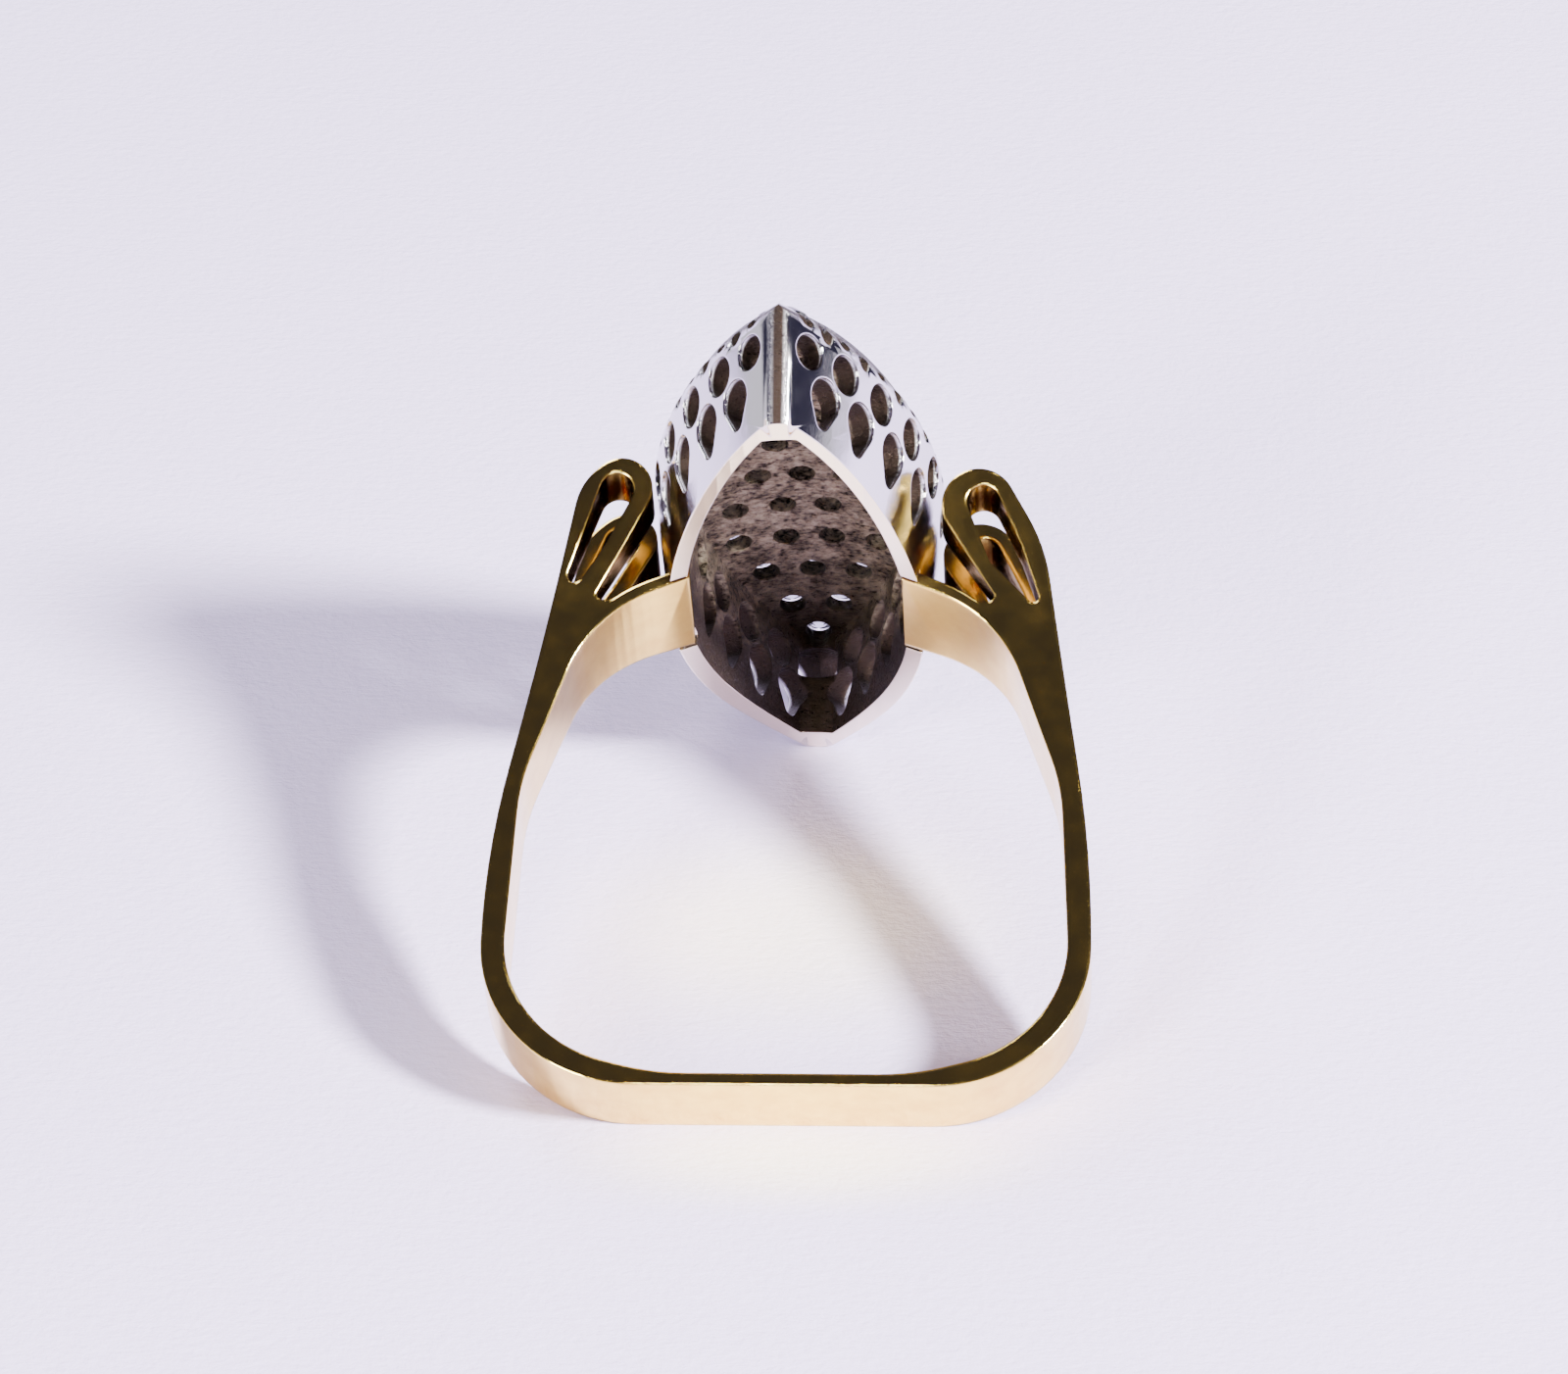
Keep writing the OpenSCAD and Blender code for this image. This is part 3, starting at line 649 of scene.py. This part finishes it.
def paper_material():
    material, tree = new_material("paper_white_sheet")
    place = add_node(tree, "ShaderNodeTexCoord").outputs["Object"]
    lying = add_node(tree, "ShaderNodeMapping", inputs={
        "Vector": place, "Scale": FIBRES_PER_METRE, "Rotation": FIBRE_TURN})
    fibres = add_node(tree, "ShaderNodeTexNoise", inputs={
        "Vector": lying, "Scale": 1.0, "Detail": 5.0, "Roughness": 0.65})
    specks = add_node(tree, "ShaderNodeTexNoise", inputs={
        "Vector": place, "Scale": SPECKS_PER_METRE, "Detail": 3.0, "Roughness": 0.6})
    tooth = add_node(tree, "ShaderNodeMath", operation="ADD", inputs={0: fibres, 1: specks})
    bump = add_node(tree, "ShaderNodeBump", inputs={
        "Strength": 0.5, "Distance": TOOTH_HEIGHT, "Height": tooth})

    # painted warm light: two pools of warm colour on the paper beside the gold
    front = warm_pool(tree, place, FRONT_POOL, FRONT_REACH)
    middle = warm_pool(tree, place, MIDDLE_POOL, MIDDLE_REACH)
    weaker = add_node(tree, "ShaderNodeMath", operation="MULTIPLY", inputs={
        0: middle, 1: MIDDLE_SHARE})
    pools = add_node(tree, "ShaderNodeMath", operation="MAXIMUM", inputs={0: front, 1: weaker})
    warm = add_node(tree, "ShaderNodeMath", operation="MULTIPLY", inputs={
        0: pools, 1: POOL_STRENGTH})
    colour = add_node(tree, "ShaderNodeMix", data_type="RGBA", inputs={
        "Factor": warm, "A": linear("#D4C6F0"), "B": linear("#FFF3EC")})
    shader = add_node(tree, "ShaderNodeBsdfPrincipled", inputs={
        "Base Color": colour, "Roughness": 0.85, "Normal": bump})
    add_node(tree, "ShaderNodeOutputMaterial", inputs={"Surface": shader})
    return material


half = PAPER_SIZE / 2
paper_mesh = bpy.data.meshes.new("paper")
paper_mesh.from_pydata(
    [(-half, -half, 0), (half, -half, 0), (half, half, 0), (-half, half, 0)], [], [(0, 1, 2, 3)])
paper_mesh.materials.append(paper_material())
paper = bpy.data.objects.new("paper", paper_mesh)
bpy.context.scene.collection.objects.link(paper)
print("the sheet is", PAPER_SIZE, "m wide")

# %% [markdown]
# ## Room
# Polished metal shows the room more than itself. The near faces of the shank mirror the
# ceiling, and in the photograph they are nearly black, so the room overhead is dark. The
# left wall of the head mirrors something pale, low on the left. So the world is dark above
# and pale round the horizon, and the pale band reaches higher on the left.

# %% A dark ceiling over a pale horizon
LEFT_SIDE = (0.1, -0.5)
BAND_RIGHT = 0.06
BAND_LEFT_MORE = 0.14
BAND_EDGE = (0.8, 1.5)
ROOM_STRENGTH = 1.5

world = bpy.data.worlds.new("room")
bpy.context.scene.world = world
world.use_nodes = True
room = world.node_tree
room.nodes.clear()
direction = add_node(room, "ShaderNodeTexCoord").outputs["Generated"]
across, _, upward = add_node(room, "ShaderNodeSeparateXYZ", inputs={0: direction}).outputs
leftward = add_node(room, "ShaderNodeMapRange", interpolation_type="SMOOTHSTEP", inputs={
    "Value": across, "From Min": LEFT_SIDE[0], "From Max": LEFT_SIDE[1]})
band_height = add_node(room, "ShaderNodeMath", operation="MULTIPLY_ADD", inputs={
    0: leftward, 1: BAND_LEFT_MORE, 2: BAND_RIGHT})
past_band = add_node(room, "ShaderNodeMath", operation="DIVIDE", inputs={
    0: upward, 1: band_height})
overhead = add_node(room, "ShaderNodeMapRange", interpolation_type="SMOOTHSTEP", inputs={
    "Value": past_band, "From Min": BAND_EDGE[0], "From Max": BAND_EDGE[1]})
sky = add_node(room, "ShaderNodeMix", data_type="RGBA", inputs={
    "Factor": overhead, "A": linear("#E6E3EE"), "B": linear("#2F2D40")})
glow = add_node(room, "ShaderNodeBackground", inputs={"Color": sky, "Strength": ROOM_STRENGTH})
add_node(room, "ShaderNodeOutputWorld", inputs={"Surface": glow})
print("the pale band is", round((BAND_RIGHT + BAND_LEFT_MORE) / BAND_RIGHT, 1), "times higher left")

# %% [markdown]
# ## Lamps
# The brightest lamp stands on the right, a little in front, and throws the long shadow to
# the left. Two wider, weaker ones on the left, one in front and one behind, open that shadow
# up and cast the faint ones to the right. A small one above the camera and a very weak one
# overhead add little glints on the edges. Each lamp is a disc that faces the ring, all at
# the same distance, placed by its angle around the ring, where 0 is the right and -90 the
# camera's side, and by its angle above the paper.

# %% Soft lamps round the ring
LAMP_DISTANCE = 520 * MM


def soft_lamp(name, around, above, width_mm, power, colour):
    lamp = bpy.data.lights.new(name, "AREA")
    lamp.shape = "DISK"
    lamp.size = width_mm * MM
    lamp.energy = power
    lamp.color = linear(colour)[:3]
    stand = bpy.data.objects.new(name, lamp)
    toward_ring = Euler((0, -math.radians(above), math.radians(around)))
    stand.location = Vector((LAMP_DISTANCE, 0, 0))
    stand.location.rotate(toward_ring)
    stand.rotation_euler = (-stand.location).to_track_quat("-Z", "Y").to_euler()
    bpy.context.scene.collection.objects.link(stand)
    print(name, "stands", round(stand.location.z / MM), "mm above the paper")


soft_lamp("key_right", around=-30, above=37, width_mm=90, power=18.5, colour="#FFFDFB")
soft_lamp("front_left", around=-124, above=27, width_mm=120, power=4.1, colour="#FFFCF8")
soft_lamp("back_left", around=119, above=42, width_mm=190, power=2.2, colour="#F4F3FF")
soft_lamp("small_front", around=-93, above=50, width_mm=50, power=0.5, colour="#FFFFFF")
soft_lamp("small_overhead", around=40, above=71, width_mm=40, power=0.1, colour="#FFFFFF")

# %% [markdown]
# ## Camera
# The camera was fitted to the photograph: it stands about 250 mm away, about 35 degrees
# above the paper, a little to the right of the ring's middle and tipped by about a degree.
# The long lens, 177 mm on a full frame, keeps the near bottom of the ring and its far head
# in almost the same scale. A camera looks along its own -Z with Y up, so its matrix has the
# right, the up and the backward direction as columns.

# %% Camera
CAMERA_PLACE = (10.738, -204.053, 149.845)
CAMERA_FORWARD = (-0.04442, 0.82158, -0.56836)
CAMERA_UP = (-0.00539, 0.56872, 0.82251)
FOCAL_LENGTH = 177.25
FILM_WIDTH = 36.0

view = bpy.data.cameras.new("camera")
view.lens = FOCAL_LENGTH
view.sensor_width = FILM_WIDTH
view.clip_start = 0.01
view.clip_end = 10.0
camera = bpy.data.objects.new("camera", view)
forward = Vector(CAMERA_FORWARD).normalized()
up = Vector(CAMERA_UP).normalized()
turned = Matrix((forward.cross(up), up, -forward)).transposed()
camera.matrix_world = Matrix.Translation(Vector(CAMERA_PLACE) * MM) @ turned.to_4x4()
bpy.context.scene.collection.objects.link(camera)
bpy.context.scene.camera = camera
print("the camera looks", round(math.degrees(math.asin(-forward.z)), 1), "degrees down")
